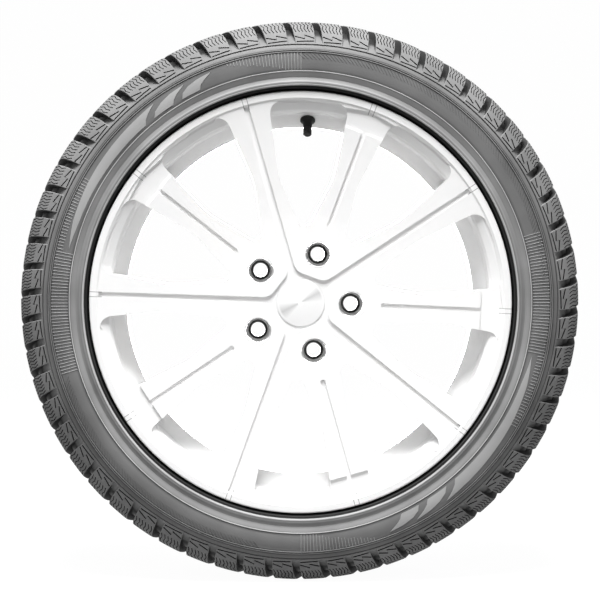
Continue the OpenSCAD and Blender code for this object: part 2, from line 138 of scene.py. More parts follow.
def shader_group(name: str, inputs: dict[str, float], outputs: dict[str, str],
                 fill: Callable[[Graph, bpy.types.Node, bpy.types.Node], None]) -> bpy.types.NodeTree:
    """Build a shader node group once.

    Args:
        name: Name of the group.
        inputs: Float inputs with their defaults.
        outputs: Output names with their socket types.
        fill: Adds the nodes between the group's input and output nodes.

    Returns:
        The group, which is reused where it exists.
    """
    if name in bpy.data.node_groups:
        return bpy.data.node_groups[name]
    tree = bpy.data.node_groups.new(name, "ShaderNodeTree")
    for key, value in inputs.items():
        tree.interface.new_socket(name=key, in_out="INPUT", socket_type="NodeSocketFloat").default_value = value
    for key, kind in outputs.items():
        tree.interface.new_socket(name=key, in_out="OUTPUT", socket_type=kind)
    graph = Graph(tree)
    fill(graph, graph.add("NodeGroupInput"), graph.add("NodeGroupOutput"))
    return tree


def grain_group() -> bpy.types.NodeTree:
    """Build the group for the fine grain of a surface.

    Returns:
        A group that gives a mask of broad mottle, a mask of fine grain and a bumped normal.
    """

    def fill(g: Graph, start: bpy.types.Node, end: bpy.types.Node) -> None:
        """Place the noise and the bump.

        Args:
            g: The group's graph.
            start: Node with the group's inputs.
            end: Node with the group's outputs.
        """
        place = g.add("ShaderNodeTexCoord").outputs["Object"]
        fine = g.add("ShaderNodeTexNoise", {"Vector": place, "Scale": start.outputs["Scale"], "Detail": 3.0})
        broad = g.add("ShaderNodeTexNoise", {"Vector": place, "Scale": start.outputs["Broad scale"], "Detail": 2.0})
        bump = g.add("ShaderNodeBump", {"Strength": start.outputs["Strength"], "Distance": 0.0004,
                                        "Height": fine.outputs["Fac"]})
        g.tree.links.new(g.scaled(broad.outputs["Fac"], 0.35, 0.65, 0.0, 1.0), end.inputs["Mottle"])
        g.tree.links.new(g.scaled(fine.outputs["Fac"], 0.3, 0.7, 0.0, 1.0), end.inputs["Grain"])
        g.tree.links.new(bump.outputs["Normal"], end.inputs["Normal"])

    return shader_group("surface_grain", {"Scale": 900.0, "Broad scale": 18.0, "Strength": 0.2},
                        {"Mottle": "NodeSocketFloat", "Grain": "NodeSocketFloat", "Normal": "NodeSocketVector"}, fill)


def polar_group() -> bpy.types.NodeTree:
    """Build the group that tells where a point lies on the wheel.

    Returns:
        A group that gives the distance from the axis and the height in millimetres, and the angle in degrees.
    """

    def fill(g: Graph, start: bpy.types.Node, end: bpy.types.Node) -> None:
        """Work them out from the object's own coordinates.

        Args:
            g: The group's graph.
            start: Node with the group's inputs.
            end: Node with the group's outputs.
        """
        place = g.add("ShaderNodeTexCoord").outputs["Object"]
        part = g.add("ShaderNodeSeparateXYZ", {0: place})
        x, z = part.outputs[0], part.outputs[2]
        radius = g.math("SQRT", g.math("ADD", g.math("MULTIPLY", x, x), g.math("MULTIPLY", z, z)))
        turn = g.math("DEGREES", g.math("ARCTAN2", z, x))
        g.tree.links.new(g.math("MULTIPLY", radius, 1000.0), end.inputs["Radius"])
        angle = g.math("WRAP", g.math("SUBTRACT", turn, start.outputs["Zero"]), 360.0, 0.0)
        g.tree.links.new(angle, end.inputs["Angle"])
        g.tree.links.new(g.math("MULTIPLY", part.outputs[1], -1000.0), end.inputs["Height"])

    return shader_group("place_on_wheel", {"Zero": 0.0}, {"Radius": "NodeSocketFloat", "Angle": "NodeSocketFloat",
                                                          "Height": "NodeSocketFloat"}, fill)


@dataclass(frozen=True)
class RubberFinish:
    """Moulded rubber: matt, a little mottled, darker where a face is marked: painted shade in the sipes and on the
    block flanks.
    """

    name: str
    level: float
    # painted shade: colour of the marked faces in the sipes and on the block flanks
    painted_shade_level: float = 0.012
    roughness: float = 0.55
    mottle: float = 0.18
    grain_scale: float = 700.0
    bump: float = 0.25
    shine: float = 0.16

    def toned(self, g: Graph, colour: bpy.types.NodeSocket) -> bpy.types.NodeSocket:
        """Give the rubber's colour as it is."""
        return colour

    def build(self) -> bpy.types.Material:
        """Make the material.

        Returns:
            The finished material.
        """
        material, g = new_material(self.name)
        grain = g.group(grain_group(), {"Scale": self.grain_scale, "Strength": self.bump})
        dark, light = shade(self.level * (1 - self.mottle)), shade(self.level * (1 + self.mottle))
        # painted shade: the face mark made with the tread blocks darkens the sipes and the block flanks
        mark = g.add("ShaderNodeAttribute", attribute_name="deep", attribute_type="GEOMETRY")
        colour = g.mix(mark.outputs["Fac"], g.mix(grain.outputs["Mottle"], dark, light), shade(self.painted_shade_level))
        rough = g.scaled(grain.outputs["Grain"], 0.0, 1.0, self.roughness - 0.06, self.roughness + 0.08)
        g.finish({"Base Color": self.toned(g, colour), "Roughness": rough, "Normal": grain.outputs["Normal"],
                  "Specular IOR Level": self.shine})
        return material


@dataclass(frozen=True)
class SidewallFinish(RubberFinish):
    """Sidewall rubber whose tone changes from the wheel's edge out to the foot of the blocks, as painted light:
    painted shade in the gap at the wheel's flange and in the fine grooves, painted highlights on the rim rib, the
    fitting line and the fine ribs.
    """

    low_r: float = 234.0
    high_r: float = 318.0
    # painted light by radius: near-black stops are painted shade in the flange gap and the grooves, bright stops are
    # painted highlights on the rim rib, the fitting line and the hatch ribs
    painted_light_tones: tuple[tuple[float, float], ...] = (
        (234.0, 0.008), (238.2, 0.008), (238.5, 0.05), (239.0, 0.05), (239.3, 0.008), (240.9, 0.008), (241.4, 0.40),
        (242.8, 0.45), (243.5, 0.14), (245.6, 0.26), (247.0, 0.21), (252.6, 0.25), (255.8, 0.22), (256.5, 0.08),
        (256.8, 0.50), (257.4, 0.50), (257.8, 0.08), (261.0, 0.16), (276.6, 0.13), (277.6, 0.02), (278.6, 0.24),
        (279.4, 0.02), (280.5, 0.24), (281.4, 0.02), (282.4, 0.14), (285.8, 0.18), (286.6, 0.02), (287.8, 0.19),
        (296.0, 0.16), (298.5, 0.02), (318.0, 0.008))

    def toned(self, g: Graph, colour: bpy.types.NodeSocket) -> bpy.types.NodeSocket:
        """Lay painted shade and painted highlights on the rubber by its distance from the wheel's axis.

        Args:
            g: The material's graph.
            colour: The rubber's plain colour.

        Returns:
            The colour with the painted light laid over it.
        """
        radius = g.group(polar_group()).outputs["Radius"]
        ramp = g.add("ShaderNodeValToRGB", {0: g.scaled(radius, self.low_r, self.high_r, 0.0, 1.0)})
        stops = ramp.color_ramp.elements
        while len(stops) < len(self.painted_light_tones):
            stops.new(0.5)
        for stop, (place, tone) in zip(stops, self.painted_light_tones):
            stop.position = (place - self.low_r) / (self.high_r - self.low_r)
            stop.color = shade(tone / self.level)
        inputs = {0: 1.0, 6: colour, 7: ramp.outputs[0]}
        return g.add("ShaderNodeMix", inputs, data_type="RGBA", blend_type="MULTIPLY", clamp_result=False).outputs[2]


@dataclass(frozen=True)
class PaintFinish:
    """White wheel paint under a clear coat, with dark bolt seats, and thin lines of painted shade round the bolt
    pockets and over the lip.
    """

    name: str = "white_paint"
    level: float = 0.88
    roughness: float = 0.32
    grain_scale: float = 420.0
    bump: float = 0.05
    coat: float = 0.35
    coat_roughness: float = 0.08
    seat_level: float = 0.02
    # colour of the painted shade lines at the edges of the pockets and grooves
    edge_shade_level: float = 0.36
    first_bolt: float = -2.4
    bolts: int = 5
    bolt_circle_r: float = 57.15
    seat_r: float = 10.8
    seat_z: float = 84.0
    rim_r: float = 14.3
    rim_z: float = 91.0
    # painted shade lines in pairs over the lip, one pair along each spoke
    shade_line_first: float = 33.6
    shade_line_step: float = 36.0
    shade_line_at: float = 2.7
    shade_line_r: float = 221.5
    shade_line_z: float = 99.0

    def nearest(self, g: Graph, first: float, step: float) -> tuple[bpy.types.NodeSocket, ...]:
        """Measure from the nearest of several even directions round the wheel.

        Args:
            g: The material's graph.
            first: One of the directions, in degrees.
            step: Degrees from one direction to the next.

        Returns:
            Distance along the direction, distance across it, distance from the axis, and height.
        """
        polar = g.group(polar_group(), {"Zero": first - step / 2})
        radius = polar.outputs["Radius"]
        off = g.math("RADIANS", g.math("SUBTRACT", g.math("MODULO", polar.outputs["Angle"], step), step / 2))
        along = g.math("MULTIPLY", radius, g.math("COSINE", off))
        across = g.math("MULTIPLY", radius, g.math("SINE", off))
        return along, across, radius, polar.outputs["Height"]

    def lip_shade_lines(self, g: Graph) -> bpy.types.NodeSocket:
        """Give the mask of the painted shade lines that run in pairs over the wheel's lip.

        Args:
            g: The material's graph.

        Returns:
            The mask.
        """
        _, across, radius, height = self.nearest(g, self.shade_line_first, self.shade_line_step)
        off = g.math("ABSOLUTE", g.math("SUBTRACT", g.math("ABSOLUTE", across), self.shade_line_at))
        place = g.math("MULTIPLY", g.scaled(radius, self.shade_line_r, self.shade_line_r + 0.5, 0.0, 1.0),
                       g.scaled(height, self.shade_line_z, self.shade_line_z + 1.0, 0.0, 1.0))
        return g.math("MULTIPLY", g.scaled(off, 0.2, 0.55, 1.0, 0.0), place)

    def build(self) -> bpy.types.Material:
        """Make the material.

        Returns:
            The finished material.
        """
        material, g = new_material(self.name)
        grain = g.group(grain_group(), {"Scale": self.grain_scale, "Strength": self.bump})
        along, across, _, height = self.nearest(g, self.first_bolt, 360.0 / self.bolts)
        along = g.math("SUBTRACT", along, self.bolt_circle_r)
        far = g.math("SQRT", g.math("ADD", g.math("MULTIPLY", along, along), g.math("MULTIPLY", across, across)))
        seat = g.math("MULTIPLY", g.scaled(far, self.seat_r - 0.2, self.seat_r + 0.2, 1.0, 0.0),
                      g.scaled(height, self.seat_z, self.seat_z + 0.4, 1.0, 0.0))
        # painted shade: thin grey lines round each bolt pocket's mouth and over the lip, standing in for the shade
        # along those edges
        edge = g.scaled(g.math("ABSOLUTE", g.math("SUBTRACT", far, self.rim_r)), 0.25, 0.6, 1.0, 0.0)
        edge = g.math("MULTIPLY", edge, g.scaled(height, self.rim_z, self.rim_z + 1.0, 0.0, 1.0))
        paint = g.mix(grain.outputs["Mottle"], shade(self.level * 0.985), shade(self.level, 0.004))
        paint = g.mix(g.math("MAXIMUM", edge, self.lip_shade_lines(g)), paint, shade(self.edge_shade_level))
        rough = g.scaled(grain.outputs["Grain"], 0.0, 1.0, self.roughness - 0.04, self.roughness + 0.04)
        g.finish({"Base Color": g.mix(seat, paint, shade(self.seat_level)), "Roughness": rough,
                  "Coat Weight": self.coat, "Coat Roughness": self.coat_roughness,
                  "Normal": grain.outputs["Normal"]})
        return material


@dataclass(frozen=True)
class SpunFinish:
    """Spun metal: rings of fine lines, and the double fan of light that they throw painted into the colour as a
    darker fan, a painted reflection.
    """

    name: str = "spun_metal"
    level: float = 0.86
    # colour of the painted reflection fan
    dark: float = 0.50
    roughness: float = 0.34
    metallic: float = 0.15
    line_scale: float = 2.6
    fan_at: float = 27.5
    fan_half: float = 24.0
    face_r: float = 23.5
    edge_r: float = 25.0

    def build(self) -> bpy.types.Material:
        """Make the material.

        Returns:
            The finished material.
        """
        material, g = new_material(self.name)
        polar = g.group(polar_group(), {"Zero": self.fan_at - 90.0})
        radius = polar.outputs["Radius"]
        off = g.math("ABSOLUTE", g.math("SUBTRACT", g.math("MODULO", polar.outputs["Angle"], 180.0), 90.0))
        lines = g.add("ShaderNodeTexNoise", {"Scale": self.line_scale, "Detail": 4.0, "W": radius},
                      noise_dimensions="1D").outputs["Fac"]
        # painted reflection: a double fan across the spun lines, darkest in its middle
        painted_reflection = g.math("MULTIPLY", g.scaled(off, 0.0, self.fan_half, 1.0, 0.0), g.scaled(lines, 0.2, 0.8, 0.65, 1.0))
        painted_reflection = g.math("MULTIPLY", painted_reflection, g.scaled(radius, self.face_r, self.edge_r, 1.0, 0.2))
        bump = g.add("ShaderNodeBump", {"Strength": 0.12, "Distance": 0.0002, "Height": lines})
        rough = g.scaled(lines, 0.2, 0.8, self.roughness - 0.08, self.roughness + 0.08)
        g.finish({"Base Color": g.mix(painted_reflection, shade(self.level), shade(self.dark)), "Roughness": rough,
                  "Metallic": self.metallic, "Normal": bump.outputs["Normal"]})
        return material


@dataclass(frozen=True)
class MetalFinish:
    """Plain turned or drawn metal with a mottled shine."""

    name: str
    colour: tuple[float, float, float]
    roughness: float = 0.3
    grain_scale: float = 2500.0
    broad_scale: float = 160.0

    def build(self) -> bpy.types.Material:
        """Make the material.

        Returns:
            The finished material.
        """
        material, g = new_material(self.name)
        grain = g.group(grain_group(), {"Scale": self.grain_scale, "Broad scale": self.broad_scale})
        low = tuple(0.8 * c for c in self.colour) + (1.0,)
        rough = g.scaled(grain.outputs["Grain"], 0.0, 1.0, self.roughness - 0.07, self.roughness + 0.1)
        g.finish({"Base Color": g.mix(grain.outputs["Mottle"], low, self.colour + (1.0,)), "Roughness": rough,
                  "Metallic": 1.0, "Normal": grain.outputs["Normal"]})
        return material


def new_piece(name: str, points: Sequence[Sequence[float]], faces: Sequence[Sequence[int]],
              material: bpy.types.Material, sharp: float = 30.0) -> bpy.types.Object:
    """Make a mesh object at the origin.

    Args:
        name: Name of the piece.
        points: Corners in metres, in the wheel's frame.
        faces: Corner numbers of each face.
        material: The piece's material.
        sharp: Edges that bend more than this many degrees stay sharp.

    Returns:
        The object, linked to the scene.
    """
    mesh = bpy.data.meshes.new(name)
    mesh.from_pydata(points, [], faces)
    mesh.validate()
    mesh.shade_smooth()
    mesh.set_sharp_from_angle(angle=math.radians(sharp))
    mesh.materials.append(material)
    piece = bpy.data.objects.new(name, mesh)
    bpy.context.scene.collection.objects.link(piece)
    return piece


@dataclass(frozen=True)
class WallShape:
    """Outside of the tyre in section, in millimetres, as a line from the middle of the tread to the wheel."""

    tyre_r: float = 317.15
    crown_r: float = 900.0
    shoulder_start: float = 78.0
    shoulder_r: float = 30.0
    shoulder_end: float = 62.0
    wall_z: float = 112.5
    wall_drop: float = 51.0
    wall_size: float = 46.9
    tread_depth: float = 8.5

    @property
    def slope(self) -> float:
        """Slope of the crown where the shoulder starts, in degrees."""
        return math.degrees(math.asin(self.shoulder_start / self.crown_r))

    @property
    def shoulder_centre(self) -> Point2:
        """Find the centre of the shoulder arc.

        Returns:
            Its radius and height.
        """
        drop = self.shoulder_start ** 2 / (2 * self.crown_r)
        slope = math.radians(self.slope)
        return (self.tyre_r - drop - self.shoulder_r * math.cos(slope),
                self.shoulder_start - self.shoulder_r * math.sin(slope))

    def section(self, along: float) -> tuple[float, float, float, float]:
        """Give the point and outward direction at a distance along the section line.

        Args:
            along: Distance from the middle of the tread in millimetres.

        Returns:
            Radius, height, and the two parts of the outward direction.
        """
        crown = self.shoulder_start
        arc = math.radians(self.shoulder_end - self.slope)
        centre_r, centre_z = self.shoulder_centre
        end = math.radians(self.shoulder_end)
        if along <= crown:
            lean = along / self.crown_r
            return (self.tyre_r - along ** 2 / (2 * self.crown_r), along, math.cos(lean), math.sin(lean))
        if along <= crown + self.shoulder_r * arc:
            a = math.radians(self.slope) + (along - crown) / self.shoulder_r
            return (centre_r + self.shoulder_r * math.cos(a), centre_z + self.shoulder_r * math.sin(a),
                    math.cos(a), math.sin(a))
        r0 = centre_r + self.shoulder_r * math.cos(end)
        z0 = centre_z + self.shoulder_r * math.sin(end)
        wall_r = self.tyre_r - self.wall_drop
        r1 = wall_r + self.wall_size * math.cos(end)
        z1 = self.wall_z - self.wall_size + self.wall_size * math.sin(end)
        straight = math.hypot(r1 - r0, z1 - z0)
        rest = along - crown - self.shoulder_r * arc
        if rest <= straight:
            k = rest / straight
            return (r0 + (r1 - r0) * k, z0 + (z1 - z0) * k, math.cos(end), math.sin(end))
        a = end + (rest - straight) / self.wall_size
        return (wall_r + self.wall_size * math.cos(a), self.wall_z - self.wall_size + self.wall_size * math.sin(a),
                math.cos(a), math.sin(a))

    def along_at(self, radius: float) -> float:
        """Find the place of the wall that has this radius.

        Args:
            radius: Distance from the axis in millimetres.

        Returns:
            Distance along the section line in millimetres.
        """
        low, high = self.shoulder_start, 170.0
        for _ in range(40):
            middle = (low + high) / 2
            if self.section(middle)[0] > radius:
                low = middle
            else:
                high = middle
        return (low + high) / 2

    def place(self, side: Side, angle: float, along: float, lift: float, shift: float = 0.0) -> Point3:
        """Give a point of the tyre in metres.

        Args:
            side: Half of the tyre.
            angle: Degrees round the wheel.
            along: Distance along the section line in millimetres; a negative one crosses the middle.
            lift: Height over the section line in millimetres.
            shift: Distance round the tyre in millimetres, added to the angle.

        Returns:
            The point in the wheel's frame.
        """
        radius, height, out_r, out_z = self.section(abs(along))
        if along < 0:
            height, out_z = -height, -out_z
        turn = math.radians(angle) + shift / radius
        far = (radius + lift * out_r) * MM
        return (far * math.cos(turn), -side.value * (height + lift * out_z) * MM, far * math.sin(turn))


SHAPE = WallShape()


def inside(loop: Sequence[Point2], x: float, y: float) -> bool:
    """Tell whether a point lies within a closed loop.

    Args:
        loop: Corners of the loop.
        x: First part of the point.
        y: Second part of the point.

    Returns:
        True where it does.
    """
    found = False
    for (x0, y0), (x1, y1) in zip(loop, list(loop[1:]) + [loop[0]]):
        if (y0 > y) != (y1 > y) and x < (x1 - x0) * (y - y0) / (y1 - y0) + x0:
            found = not found
    return found


def slot_outline(line: Sequence[Point2], width: float) -> list[Point2]:
    """Widen an open line into a closed slot.

    Args:
        line: Points of the line.
        width: Width of the slot.

    Returns:
        Corners of the slot.
    """
    left, right = [], []
    for i, (x, y) in enumerate(line):
        before, after = line[max(i - 1, 0)], line[min(i + 1, len(line) - 1)]
        dx, dy = after[0] - before[0], after[1] - before[1]
        size = math.hypot(dx, dy)
        nx, ny = -dy / size * width / 2, dx / size * width / 2
        left.append((x + nx, y + ny))
        right.append((x - nx, y - ny))
    return left + right[::-1]


def inset(loop: Sequence[Point2], size: float) -> list[Point2]:
    """Move each side of a loop inwards.

    Args:
        loop: Corners, counter-clockwise.
        size: Distance that the sides move; a negative one moves them outwards.

    Returns:
        Corners of the smaller loop.
    """
    result = []
    count = len(loop)
    for i in range(count):
        a, b, c = Vector(loop[i - 1]), Vector(loop[i]), Vector(loop[(i + 1) % count])
        u, v = (b - a).normalized(), (c - b).normalized()
        n1, n2 = Vector((-u.y, u.x)), Vector((-v.y, v.x))
        n = n1 + n2
        k = size / max(0.4, 1 + n1.dot(n2))
        result.append((b.x + n.x * k, b.y + n.y * k))
    return result


def zigzag(line: Sequence[Point2], swing: float, part: int = 0) -> list[Point2]:
    """Shift the points of a line to one side and the other by turns.

    Args:
        line: Points of the line.
        swing: Distance of each shift.
        part: Number of the part of each point that is shifted.

    Returns:
        The shifted points.
    """
    shifts = [swing if j % 2 else -swing for j in range(len(line))]
    return [(x + d, y) if part == 0 else (x, y + d) for (x, y), d in zip(line, shifts)]


@dataclass
class BlockPattern:
    """One tread block: its outline and sipes, drawn flat in millimetres as (round the tyre, along the section)."""

    name: str
    outline: list[Point2]
    sipes: list[list[Point2]]
    sipe_depth: float = 5.0
    sipe_width: float = 1.0
    chamfer: float = 0.6
    grid: float = 4.0
    draft: float = 0.5
    # painted shade on the block flanks: strong on the upper flanks, slight at the foot
    flank_painted_shade: float = 0.85
    foot_painted_shade: float = 0.1
    painted_shade_r: float = 297.0
    bold: float = 1.5
    bold_points: tuple[int, ...] = (3, 4)

    def mesh(self, side: Side, material: bpy.types.Material, sink: Callable[[float], float]) -> bpy.types.Object:
        """Make the block as a mesh at angle zero.

        Args:
            side: Half of the tyre.
            material: The tread's material.
            sink: Depth of the block's foot at a distance along the section.

        Returns:
            The block, to be repeated round the tyre.
        """
        top = inset(self.outline, self.chamfer)
        slots = [slot_outline(line, self.sipe_width * (self.bold if len(line) in self.bold_points else 1.0))
                 for line in self.sipes]
        flat: list[Vector] = [Vector(p) for p in top]
        edges = [(i, (i + 1) % len(top)) for i in range(len(top))]
        for slot in slots:
            base = len(flat)
            flat += [Vector(p) for p in slot]
            edges += [(base + i, base + (i + 1) % len(slot)) for i in range(len(slot))]
        lows = [min(p[k] for p in top) for k in (0, 1)]
        highs = [max(p[k] for p in top) for k in (0, 1)]
        y = lows[1] + self.grid / 2
        while y < highs[1]:
            for k in (0.25, 0.5, 0.75):
                x = lows[0] + (highs[0] - lows[0]) * k
                if inside(top, x, y):
                    flat.append(Vector((x, y)))
            y += self.grid
        verts, _, faces, _, _, _ = delaunay_2d_cdt(flat, edges, [], 0, 1e-4)
        points: list[Point3] = []
        polys: list[tuple[int, ...]] = []
        raised: dict[int, int] = {}
        sunk: dict[int, int] = {}

        def corner(i: int, low: bool) -> int:
            """Find or make the mesh point over a flat point.

            Args:
                i: Number of the flat point.
                low: Whether the mesh point lies on the sipes' floor, and not at the top.

            Returns:
                Number of the mesh point.
            """
            table = sunk if low else raised
            if i not in table:
                table[i] = len(points)
                points.append(SHAPE.place(side, 0.0, verts[i].y, -self.sipe_depth if low else 0.0, verts[i].x))
            return table[i]

        # faces that get painted shade: sipe floors and walls fully, the block flanks in part
        deep: dict[int, float] = {}
        count: dict[tuple[int, int], list[bool]] = {}
        for face in faces:
            x = sum(verts[i].x for i in face) / len(face)
            y = sum(verts[i].y for i in face) / len(face)
            if not inside(top, x, y):
                continue
            low = any(inside(slot, x, y) for slot in slots)
            if low:
                deep[len(polys)] = 1.0
            polys.append(tuple(corner(i, low) for i in face))
            for a, b in zip(face, face[1:] + face[:1]):
                count.setdefault((a, b), []).append(low)
        for (a, b), kinds in list(count.items()):
            other = count.get((b, a))
            if other and kinds[0] and not other[0]:
                deep[len(polys)] = 1.0
                polys.append((corner(b, True), corner(a, True), corner(a, False), corner(b, False)))
        rings = []
        foot = inset(self.outline, -self.draft)
        for loop, lift in ((self.outline, lambda s: -self.chamfer), (foot, lambda s: -sink(s))):
            rings.append([len(points) + i for i in range(len(loop))])
            points.extend(SHAPE.place(side, 0.0, y, lift(y), x) for x, y in loop)
        near = []
        for x, y in top:
            near.append(min(range(len(verts)), key=lambda i: (verts[i].x - x) ** 2 + (verts[i].y - y) ** 2))
        rims = [[raised[i] for i in near]] + rings
        total = len(self.outline)
        for ring, (upper, lower) in enumerate(zip(rims, rims[1:])):
            for i in range(total):
                j = (i + 1) % total
                if ring == 1:
                    middle = SHAPE.section(abs(self.outline[i][1] + self.outline[j][1]) / 2)[0]
                    deep[len(polys)] = self.flank_painted_shade if middle > self.painted_shade_r else self.foot_painted_shade
                polys.append((upper[j], upper[i], lower[i], lower[j]))
        piece = new_piece(self.name, points, polys, material, 28.0)
        # store the painted shade as a face mark that the rubber's material reads
        marks = piece.data.attributes.new("deep", "FLOAT", "FACE")
        for face, value in deep.items():
            marks.data[face].value = value
        tidy_normals(piece)
        return piece


def tidy_normals(piece: bpy.types.Object) -> None:
    """Merge doubles and turn every face outwards, also on a shell that is open underneath.

    Args:
        piece: The piece, whose mesh is changed.
    """
    work = bmesh.new()
    work.from_mesh(piece.data)
    bmesh.ops.remove_doubles(work, verts=work.verts, dist=1e-6)
    bmesh.ops.recalc_face_normals(work, faces=work.faces)
    work.normal_update()
    centre = sum((f.calc_center_median() for f in work.faces), Vector()) / len(work.faces)
    best = max(work.faces, key=lambda f: f.calc_area())
    middle = best.calc_center_median()
    out = Vector((middle.x, 0.0, middle.z)).normalized()
    if best.normal.dot(out) + best.normal.dot((middle - centre).normalized()) < 0:
        bmesh.ops.reverse_faces(work, faces=work.faces)
    work.to_mesh(piece.data)
    work.free()


def repeat_tree(kinds: int) -> bpy.types.GeometryNodeTree:
    """Build the tree that repeats pieces round the wheel's axis.

    Args:
        kinds: Number of different pieces.

    Returns:
        A tree whose points carry their angle in "turn" and the number of their piece in "kind".
    """
    name = f"repeat_round_axis_{kinds}"
    if name in bpy.data.node_groups:
        return bpy.data.node_groups[name]
    tree = bpy.data.node_groups.new(name, "GeometryNodeTree")
    tree.interface.new_socket(name="Points", in_out="INPUT", socket_type="NodeSocketGeometry")
    for i in range(kinds):
        tree.interface.new_socket(name=f"Piece {i}", in_out="INPUT", socket_type="NodeSocketObject")
    tree.interface.new_socket(name="Finish", in_out="INPUT", socket_type="NodeSocketMaterial")
    tree.interface.new_socket(name="Result", in_out="OUTPUT", socket_type="NodeSocketGeometry")
    g = Graph(tree)
    start, end = g.add("NodeGroupInput"), g.add("NodeGroupOutput")
    turn = g.add("GeometryNodeInputNamedAttribute", {"Name": "turn"}, data_type="FLOAT").outputs["Attribute"]
    kind = g.add("GeometryNodeInputNamedAttribute", {"Name": "kind"}, data_type="INT").outputs["Attribute"]
    angle = g.math("MULTIPLY", g.math("RADIANS", turn), -1.0)
    spin = g.add("ShaderNodeCombineXYZ", {1: angle}).outputs[0]
    join = g.add("GeometryNodeJoinGeometry")
    for i in range(kinds):
        chosen = g.add("FunctionNodeCompare", {2: kind, 3: i}, data_type="INT", operation="EQUAL").outputs[0]
        piece = g.add("GeometryNodeObjectInfo", {"Object": start.outputs[f"Piece {i}"]}).outputs["Geometry"]
        made = g.add("GeometryNodeInstanceOnPoints", {"Points": start.outputs["Points"], "Selection": chosen,
                                                      "Instance": piece, "Rotation": spin})
        tree.links.new(made.outputs[0], join.inputs[0])
    real = g.add("GeometryNodeRealizeInstances", {0: join.outputs[0]})
    done = g.add("GeometryNodeSetMaterial", {"Geometry": real.outputs[0], "Material": start.outputs["Finish"]})
    tree.links.new(done.outputs[0], end.inputs[0])
    return tree


def repeat_round(name: str, pieces: list[bpy.types.Object], places: Sequence[tuple[float, int]],
                 material: bpy.types.Material) -> bpy.types.Object:
    """Repeat pieces round the wheel's axis and make the result one plain mesh.

    Args:
        name: Name of the result.
        pieces: The pieces to repeat, each at angle zero; they are removed afterwards.
        places: Angle in degrees and number of the piece, for each copy.
        material: The result's material.

    Returns:
        The finished object.
    """
    mesh = bpy.data.meshes.new(name)
    mesh.from_pydata([(0.0, 0.0, 0.0)] * len(places), [], [])
    mesh.attributes.new("turn", "FLOAT", "POINT").data.foreach_set("value", [p[0] for p in places])
    mesh.attributes.new("kind", "INT", "POINT").data.foreach_set("value", [p[1] for p in places])
    holder = bpy.data.objects.new(name + "_points", mesh)
    bpy.context.scene.collection.objects.link(holder)
    tree = repeat_tree(len(pieces))
    modifier = holder.modifiers.new("repeat", "NODES")
    modifier.node_group = tree
    values: dict[str, object] = {f"Piece {i}": piece for i, piece in enumerate(pieces)}
    values["Finish"] = material
    for item in tree.interface.items_tree:
        if item.name in values:
            modifier[item.identifier] = values[item.name]
    bpy.context.view_layer.update()
    graph = bpy.context.evaluated_depsgraph_get()
    made = bpy.data.meshes.new_from_object(holder.evaluated_get(graph))
    for key in ("turn", "kind"):
        if key in made.attributes:
            made.attributes.remove(made.attributes[key])
    made.materials.clear()
    made.materials.append(material)
    result = bpy.data.objects.new(name, made)
    bpy.context.scene.collection.objects.link(result)
    for used in [holder, *pieces]:
        data = used.data
        bpy.data.objects.remove(used)
        bpy.data.meshes.remove(data)
    return result


